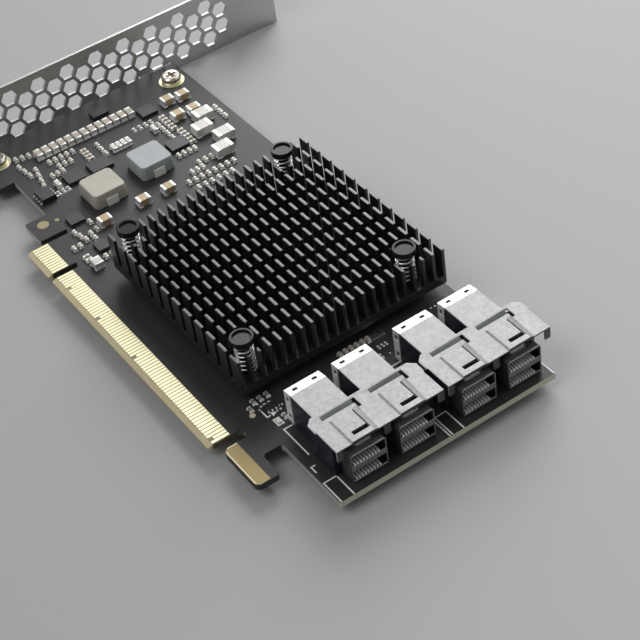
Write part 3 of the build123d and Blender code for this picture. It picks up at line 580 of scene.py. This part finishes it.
def soften(node_name, width, flatten=True, cuts=()):
    """A copy of a CAD node with its edges broken, in the node's place."""
    piece = bpy.data.objects.new("soft_" + node_name, nodes[node_name].data.copy())
    bpy.context.collection.objects.link(piece)
    pick(piece)
    bpy.ops.mesh.customdata_custom_splitnormals_clear()
    bpy.ops.object.mode_set(mode="EDIT")
    bpy.ops.mesh.select_all(action="SELECT")
    bpy.ops.mesh.remove_doubles(threshold=5e-7)
    if flatten:
        bpy.ops.mesh.dissolve_limited(angle_limit=math.radians(1))
    bpy.ops.object.mode_set(mode="OBJECT")
    for low, high in cuts:
        cut_away(piece, low, high)
    apply_modifier(
        piece, "BEVEL", width=width * MM, segments=BEVEL_SEGMENTS, limit_method="ANGLE",
        angle_limit=math.radians(32), use_clamp_overlap=False, miter_outer="MITER_SHARP",
    )
    bpy.ops.object.mode_set(mode="EDIT")
    close_piece(piece, finish_of(node_name), replaced=(node_name,))
    apply_modifier(piece, "WEIGHTED_NORMAL", keep_sharp=True)
    return piece


def islands(node_name):
    """The lowest and highest corner of each separate solid of a CAD node, in millimetres."""
    mesh = nodes[node_name].data
    keys = [tuple(round(c / MM, 3) for c in vertex.co) for vertex in mesh.vertices]
    group = {key: key for key in keys}

    def find(key):
        while group[key] != key:
            key = group[key]
        return key

    for polygon in mesh.polygons:
        first = find(keys[polygon.vertices[0]])
        for vertex in polygon.vertices[1:]:
            group[find(keys[vertex])] = first
    members = {}
    for key in group:
        members.setdefault(find(key), []).append(key)
    return [
        ([min(p[i] for p in points) for i in range(3)], [max(p[i] for p in points) for i in range(3)])
        for points in members.values()
    ]


def add_bar(start, end, meets_start, meets_end):
    """A flat strip on the board along X or Y. It stops short of a strip that it meets."""
    start, end = Vector(start), Vector(end)
    along = (end - start).normalized() * PRINT_WIDTH / 2
    start += along if meets_start else -along
    end += -along if meets_end else along
    centre = (*((start + end) / 2 * MM), BOARD_TOP * MM)
    size = [max(abs(length), PRINT_WIDTH) for length in end - start]
    bpy.ops.mesh.primitive_plane_add(size=MM, location=centre)
    bpy.ops.transform.resize(value=(size[0], size[1], 1), center_override=centre)


def raise_all(height):
    """Give flat shapes on the board a thickness in millimetres."""
    bpy.ops.mesh.select_all(action="SELECT")
    bpy.ops.mesh.extrude_region_move(TRANSFORM_OT_translate={"value": (0, 0, height * MM)})


def add_printed_lines():
    """Plain white lines and outlines on the board."""
    piece = open_piece("printed_lines")
    paths = [
        [(78.45, 17.2), (78.45, 15.2), (87.8, 15.2)],
        [(102.8, 16.2), (96.5, 16.2), (96.5, 13.0), (102.8, 13.0)],
        [(91.2, 14.4), (91.2, 13.5), (93.0, 13.5)],
        [(102.8, 44.3), (96.7, 44.3), (96.7, 40.65), (102.8, 40.65)],
        [(97.1, 41.35), (102.8, 41.35)],
        [(98.5, 68.65), (102.8, 68.65)],
        [(78.25, 43.5), (78.25, 45.7)],
        [(70.9, 14.45), (73.1, 14.45), (73.1, 15.15)],
        [(74.65, 15.0), (76.75, 15.0), (76.75, 16.3), (74.65, 16.3), (74.65, 15.0)],
    ]
    for path in paths:
        closed = path[0] == path[-1]
        for number, (start, end) in enumerate(zip(path, path[1:])):
            add_bar(start, end, number > 0, closed and number == len(path) - 2)
    bpy.ops.mesh.primitive_circle_add(
        vertices=3, radius=TRIANGLE_RADIUS * MM, fill_type="NGON",
        location=Vector((*TRIANGLE_PLACE, BOARD_TOP)) * MM,
    )
    raise_all(PRINT_THICKNESS)
    close_piece(piece, PRINT_FINISH)


def add_solder_dots():
    """Domed dots of solder on the board's bare pads."""
    piece = open_piece("solder_dots")
    dots = [
        (69.3, 16.15, 0.3), (69.3, 17.3, 0.3), (68.5, 14.95, 0.22), (69.5, 15.2, 0.3), (71.8, 18.35, 0.24),
        (72.8, 18.1, 0.3), (71.9, 19.1, 0.26), (72.9, 17.2, 0.24), (70.2, 14.4, 0.26),
        (71.15, 45.1, 0.3), (71.15, 46.1, 0.3), (71.15, 47.05, 0.3), (71.95, 45.1, 0.3), (71.9, 46.2, 0.3),
        (71.9, 47.1, 0.3), (69.0, 61.4, 0.28), (69.1, 62.5, 0.28), (74.6, 45.9, 0.22), (75.2, 41.9, 0.22),
        (69.9, 35.6, 0.22), (73.4, 38.2, 0.22), (72.5, 30.4, 0.22), (73.6, 50.7, 0.22), (72.6, 57.9, 0.22),
    ]
    for x, y, radius in dots:
        bpy.ops.mesh.primitive_circle_add(
            vertices=DOT_SIDES, radius=radius * MM, fill_type="NGON", location=Vector((x, y, BOARD_TOP)) * MM
        )
    raise_all(DOT_FOOT)
    for shrink, rise in DOT_STEPS:
        bpy.ops.mesh.inset(thickness=shrink * MM, depth=rise * MM)
    close_piece(piece, SOLDER_FINISH, sharp=70)


def add_solder_fillets():
    """Solder that slopes from the board up the metal ends of the chip parts."""
    piece = open_piece("solder_fillets")
    end_nodes = [name for name in nodes if name.endswith("capacitor_ends") or name == "resistor_ends"]
    for name in sorted(end_nodes):
        for low, high in islands(name):
            upright = 1 if low[2] > 0 else -1
            face_z = low[2] if upright == 1 else high[2]
            height = FILLET_RISE * (high[2] - low[2])
            middle_z = face_z + upright * height / 2
            centre = Vector(((low[0] + high[0]) / 2, (low[1] + high[1]) / 2, middle_z)) * MM
            radii = [math.sqrt(0.5), math.sqrt(0.5) * FILLET_TAPER][::upright]
            bpy.ops.mesh.primitive_cone_add(
                vertices=4, radius1=radii[0] * MM, radius2=radii[1] * MM, depth=height * MM, location=centre,
                rotation=(0, 0, math.pi / 4),
            )
            size = [high[i] - low[i] + 2 * SOLDER_SPREAD for i in range(2)]
            bpy.ops.transform.resize(value=(size[0], size[1], 1), center_override=centre)
    bpy.ops.mesh.select_all(action="SELECT")
    bpy.ops.mesh.bevel(offset=SOLDER_ROUNDING * MM, segments=BEVEL_SEGMENTS, affect="EDGES")
    close_piece(piece, SOLDER_FINISH, sharp=70)


def add_lamp():
    """A small surface lamp: a white resin block with broken edges."""
    lamp = open_piece("board_lamp")
    centre = Vector((*LAMP_PLACE, BOARD_TOP + LAMP_SIZE[2] / 2)) * MM
    bpy.ops.mesh.primitive_cube_add(size=MM, location=centre)
    bpy.ops.transform.resize(value=LAMP_SIZE, center_override=centre)
    bpy.ops.mesh.bevel(offset=LAMP_ROUNDING * MM, segments=BEVEL_SEGMENTS, affect="EDGES")
    close_piece(lamp, LAMP_FINISH, sharp=50)


def add_springs():
    """A round-wire coil on each push pin, from the heatsink to the pin's head."""
    low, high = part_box("push_pin_springs")
    radius = (SPRING_DIAMETER - SPRING_WIRE) / 2
    bpy.ops.object.select_all(action="DESELECT")
    bpy.ops.mesh.primitive_circle_add(
        vertices=SPRING_SIDES, radius=SPRING_WIRE / 2 * MM,
        location=(radius * MM, 0, low[2] + SPRING_WIRE / 2 * MM), rotation=(math.pi / 2, 0, 0),
    )
    coil = bpy.context.object
    coil.name = "round_wire_springs"
    bpy.ops.object.transform_apply(location=True, rotation=True, scale=True)
    rise = high[2] - low[2] - SPRING_WIRE * MM
    apply_modifier(
        coil, "SCREW", steps=SPRING_STEPS, render_steps=SPRING_STEPS, iterations=SPRING_TURNS,
        screw_offset=rise / SPRING_TURNS, use_merge_vertices=False,
    )
    bpy.ops.object.mode_set(mode="EDIT")
    bpy.ops.mesh.select_all(action="SELECT")
    bpy.ops.mesh.fill_holes(sides=0)
    margin = SPRING_DIAMETER / 2 * MM
    rows, columns = [(low[axis] + margin, high[axis] - margin) for axis in (0, 1)]
    centres = [(x, y) for x in rows for y in columns]
    bpy.ops.mesh.select_all(action="SELECT")
    bpy.ops.transform.translate(value=(centres[0][0], centres[0][1], 0))
    for (old_x, old_y), (x, y) in zip(centres, centres[1:]):
        bpy.ops.mesh.duplicate_move(TRANSFORM_OT_translate={"value": (x - old_x, y - old_y, 0)})
    close_piece(coil, FINISH["spring_steel"], sharp=60, replaced=("push_pin_springs",))


# Each node with broken edges, and the width of their bevel in millimetres
SOFTENED = {
    "bracket": 0.12,
    "bracket_screws": 0.1,
    "heatsink": 0.11,
    "push_pins": 0.1,
    "inductor_bodies": 0.3,
    "inductor_terminals": 0.1,
    "tan_capacitor_bodies": 0.08,
    "tan_capacitor_ends": 0.14,
    "large_capacitor_bodies": 0.08,
    "large_capacitor_ends": 0.14,
    "input_capacitor_bodies": 0.06,
    "input_capacitor_ends": 0.12,
    "bank_capacitor_bodies": 0.05,
    "bank_capacitor_ends": 0.1,
    "small_capacitor_bodies": 0.04,
    "small_capacitor_ends": 0.08,
    "resistor_bodies": 0.03,
    "resistor_ends": 0.06,
    "regulator_chips": 0.06,
    "logic_chips": 0.06,
    "memory_chip": 0.08,
    "small_regulator": 0.06,
    "oscillator": 0.1,
    "chip_leads": 0.03,
}
for port in range(1, 5):
    SOFTENED[f"port_{port}_housing"] = 0.06
    SOFTENED[f"port_{port}_nose"] = 0.07
    SOFTENED[f"port_{port}_contacts"] = 0.03
    SOFTENED[f"port_{port}_shell"] = 0.08
    SOFTENED[f"port_{port}_clip"] = 0.08
for pair in (1, 2):
    SOFTENED[f"pair_{pair}_bezel"] = 0.09


def finish_bezel(piece):
    """Paint shade on the fold behind each window, on the faces turned to the front (the cut front edges and
    tabs), and on the flank beside each latch.
    """
    for material in (FOLD_SHADE_FINISH, FRONT_FACE_SHADE_FINISH, FLANK_SHADE_FINISH):
        piece.data.materials.append(material)
    shaded_fold, shaded_tab, shaded_flank = 1, 2, 3
    for face in piece.data.polygons:
        x, z = face.center.x / MM, face.center.z / MM
        normal = face.normal
        if WINDOW_REAR < x < WINDOW_FRONT and z < BEZEL_TOP - NEAR and normal.x > 0.2 and abs(normal.z) > 0.5:
            face.material_index = shaded_fold
        elif z > BEZEL_TOP + NEAR and normal.y > 0.05 and normal.z > 0.8:
            face.material_index = shaded_flank
        elif normal.x > 0.75:
            face.material_index = shaded_tab


def finish_nose(piece, cuts):
    """A nose has a grey face, with a painted highlight along its top front edge, painted shade on its other
    faces and darker painted shade inside its slots.
    """
    for material in (SLOT_SHADE_FINISH, NOSE_SIDE_SHADE_FINISH, NOSE_RIM_HIGHLIGHT_FINISH):
        piece.data.materials.append(material)
    shaded_lining, shaded_side, rim_highlight = 1, 2, 3
    for face in piece.data.polygons:
        place = face.center / MM
        if face.normal.x > 0.2 and face.normal.z > 0.3:
            face.material_index = rim_highlight
        elif face.normal.x < 0.75:
            face.material_index = shaded_side
        for low, high in cuts:
            within = all(a - NEAR < c < b + NEAR for a, b, c in zip(low, high, place))
            if within and place.x < high[0] - NOSE_FACE_DEPTH:
                face.material_index = shaded_lining


def slot_cuts(node_name):
    """The two card slots of a nose at their full height and width."""
    low, high = [[c / MM for c in corner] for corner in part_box(node_name)]
    rear, front = high[0] - SLOT_DEPTH, high[0] + SLOT_RUN_OUT
    left, right = low[1] + SLOT_WALL, high[1] - SLOT_END
    return [((rear, left, floor), (front, right, floor + SLOT_HEIGHT)) for floor in SLOT_FLOORS]


for name, width in SOFTENED.items():
    cuts = slot_cuts(name) if name.endswith("_nose") else ()
    softened = soften(name, width, flatten=not name.endswith("_bezel"), cuts=cuts)
    if name.endswith("_bezel"):
        finish_bezel(softened)
    if cuts:
        finish_nose(softened, cuts)
add_springs()
add_printed_lines()
add_solder_dots()
add_solder_fillets()
add_lamp()


# Camera, floor and light

def add_camera():
    """The photograph's viewpoint, as fitted to the card."""
    data = bpy.data.cameras.new("camera")
    data.sensor_width = SENSOR_WIDTH
    data.lens = SENSOR_WIDTH * FOCAL_LENGTH_PIXELS / PHOTO_WIDTH
    data.clip_start = 0.01
    data.clip_end = 20.0
    camera = bpy.data.objects.new("camera", data)
    bpy.context.collection.objects.link(camera)
    right = Vector((0.56325799, 0.81800627, -0.11664557))
    down = Vector((0.50945243, -0.45494853, -0.73039719))
    ahead = Vector((-0.65053721, 0.35197668, -0.67298867))
    turn = Matrix((right, -down, -ahead)).transposed()
    place = Vector((306.869, -95.6825, 260.852)) * MM
    camera.matrix_world = Matrix.Translation(place) @ turn.to_4x4()
    bpy.context.scene.camera = camera


def make_floor_finish():
    """Pale studio paper, with painted light: lighter to the back right than to the front left."""
    material = make_finish(
        "floor grey and painted light", (0.47, 0.475, 0.48), 0.9, patch=0.985, speck=1.03, speck_scale=900, grain_scale=900,
        bump=0.04, specular=0.0,
    )
    tree = material.node_tree
    spot = parts_of(tree, coordinates(tree)["Object"])
    # Painted light: the floor's tone rises from the front left to the back right
    slant = add_node(tree, "ShaderNodeMath", operation="MULTIPLY_ADD")
    tree.links.new(spot["Y"], slant.inputs[0])
    slant.inputs[1].default_value = FLOOR_SLANT
    tree.links.new(spot["X"], slant.inputs[2])
    painted_light_level = add_node(tree, "ShaderNodeMapRange", interpolation_type="SMOOTHSTEP")
    tree.links.new(slant.outputs[0], painted_light_level.inputs["Value"])
    painted_light_level.inputs["From Min"].default_value = FLOOR_PAINTED_SHADE_PLACE
    painted_light_level.inputs["From Max"].default_value = FLOOR_PAINTED_LIGHT_PLACE
    painted_shade_tone, light = (0.405, 0.408, 0.415, 1), (0.54, 0.54, 0.543, 1)
    tint(tree, blend_colour(tree, painted_light_level.outputs["Result"], painted_shade_tone, light))
    return material


def add_floor():
    """A plain floor under the card's lowest point."""
    bpy.ops.object.select_all(action="DESELECT")
    bpy.ops.mesh.primitive_plane_add(size=FLOOR_SIZE, location=(0, 0, cad_box[0][2]))
    floor = bpy.context.object
    floor.name = "floor"
    bpy.ops.object.transform_apply(location=True, rotation=True, scale=True)
    floor.data.materials.append(make_floor_finish())


def add_area_light(name, place, target, size, power):
    """A soft lamp at a place, turned towards a target, all in metres."""
    data = bpy.data.lights.new(name, "AREA")
    data.shape = "RECTANGLE"
    data.size, data.size_y = size
    data.energy = power
    light = bpy.data.objects.new(name, data)
    bpy.context.collection.objects.link(light)
    place, target = Vector(place), Vector(target)
    turn = (target - place).to_track_quat("-Z", "Y").to_matrix()
    light.matrix_world = Matrix.Translation(place) @ turn.to_4x4()


def add_world():
    """Even grey light from all round."""
    world = bpy.data.worlds.new("studio")
    bpy.context.scene.world = world
    world.use_nodes = True
    world.node_tree.nodes["Background"].inputs["Color"].default_value = (0.26, 0.262, 0.264, 1)
    world.node_tree.nodes["Background"].inputs["Strength"].default_value = 1.0


add_camera()
add_floor()
add_world()
add_area_light("key", (-0.58, 0.62, 0.55), (0.03, 0.04, 0.0), (0.65, 0.65), 8.8)
add_area_light("fill", (0.3, 1.0, 0.9), (0.03, 0.04, 0.0), (0.9, 0.9), 1.8)
add_area_light("front left", (-0.05, -0.55, 0.9), (0.05, 0.03, 0.0), (0.6, 0.6), 2.8)

bpy.context.scene.view_settings.view_transform = "Standard"
